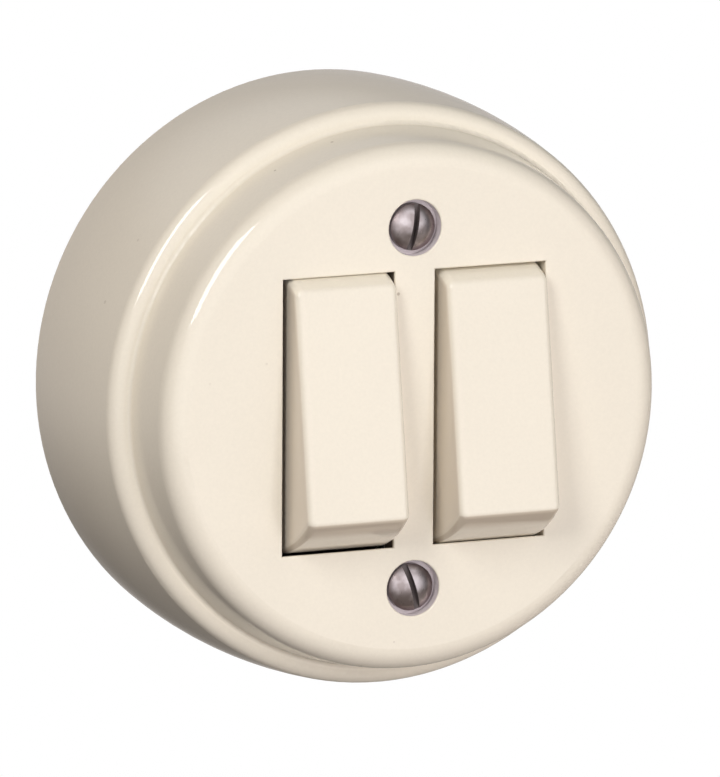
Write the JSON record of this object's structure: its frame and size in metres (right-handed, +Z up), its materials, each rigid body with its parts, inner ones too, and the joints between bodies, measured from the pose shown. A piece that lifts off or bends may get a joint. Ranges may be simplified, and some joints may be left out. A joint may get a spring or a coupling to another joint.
{
  "type": "light switch",
  "caption": "Round surface-mounted light switch: a stepped moulded cover with side-by-side tilting rockers, slotted cover screws and the switching mechanism on a base plate.",
  "frame": {"origin": "centre of the back on the wall plane, in the middle of the cable entry", "axes": "+Z up the wall, +Y into the wall, the front faces -Y, +X to the right seen from the front"},
  "size_m": [0.0716, 0.0376, 0.0716],
  "materials": {
    "cream_moulding": "glossy ivory moulding",
    "base_moulding": "matt pale moulding",
    "body_moulding": "dark brown moulding",
    "screw_steel": "darkened plated steel",
    "plated_steel": "zinc-plated steel sheet",
    "spring_steel": "drawn steel wire",
    "brass": "plain brass",
    "contact_metal": "silver contact metal",
    "plunger_plastic": "natural plastic"
  },
  "bodies": {
    "housing": {"cover": "cream_moulding", "cover_screws": "screw_steel", "base": "base_moulding", "pillar_inserts": "brass", "mechanism_body": "body_moulding", "yoke": "plated_steel", "yoke_screws": "screw_steel", "fixed_contacts": "contact_metal", "terminal_screws": "screw_steel", "upper_terminal_left": "brass", "upper_terminal_right": "brass", "lower_terminal_left": "brass", "lower_terminal_right": "brass", "common_terminal_left": "brass", "common_terminal_right": "brass"},
    "left_rocker": {"rocker_left": "cream_moulding", "spring_left": "spring_steel"},
    "left_plunger": {"plunger_left": "plunger_plastic"},
    "left_contact": {"contact_arm_left": "brass", "moving_contacts_left": "contact_metal"},
    "right_rocker": {"rocker_right": "cream_moulding", "spring_right": "spring_steel"},
    "right_plunger": {"plunger_right": "plunger_plastic"},
    "right_contact": {"contact_arm_right": "brass", "moving_contacts_right": "contact_metal"}
  },
  "joints": [
    {"name": "left_rocker_tilt", "type": "hinge", "parent": "housing", "child": "left_rocker", "pos_m": [-0.00965, -0.0252, 0.00015], "axis": [1, 0, 0], "range_deg": [0, 18]},
    {"name": "left_plunger_slide", "type": "slide", "parent": "left_rocker", "child": "left_plunger", "axis": [0, -0.9877, 0.1564], "range_m": [0, 0.001], "stiffness_N_per_m": 400, "deforming": ["spring_left"]},
    {"name": "left_contact_rock", "type": "hinge", "parent": "housing", "child": "left_contact", "pos_m": [-0.00965, -0.0132, 0.00015], "axis": [1, 0, 0], "range_deg": [-10, 0]},
    {"name": "right_rocker_tilt", "type": "hinge", "parent": "housing", "child": "right_rocker", "pos_m": [0.00965, -0.0252, -0.00015], "axis": [1, 0, 0], "range_deg": [0, 18]},
    {"name": "right_plunger_slide", "type": "slide", "parent": "right_rocker", "child": "right_plunger", "axis": [0, -0.9877, 0.1564], "range_m": [0, 0.001], "stiffness_N_per_m": 400, "deforming": ["spring_right"]},
    {"name": "right_contact_rock", "type": "hinge", "parent": "housing", "child": "right_contact", "pos_m": [0.00965, -0.0132, -0.00015], "axis": [1, 0, 0], "range_deg": [-10, 0]}
  ],
  "couplings": [
    {"joint": "left_contact_rock", "follows": "left_rocker_tilt", "ratio": -0.55556},
    {"joint": "right_contact_rock", "follows": "right_rocker_tilt", "ratio": -0.55556}
  ]
}
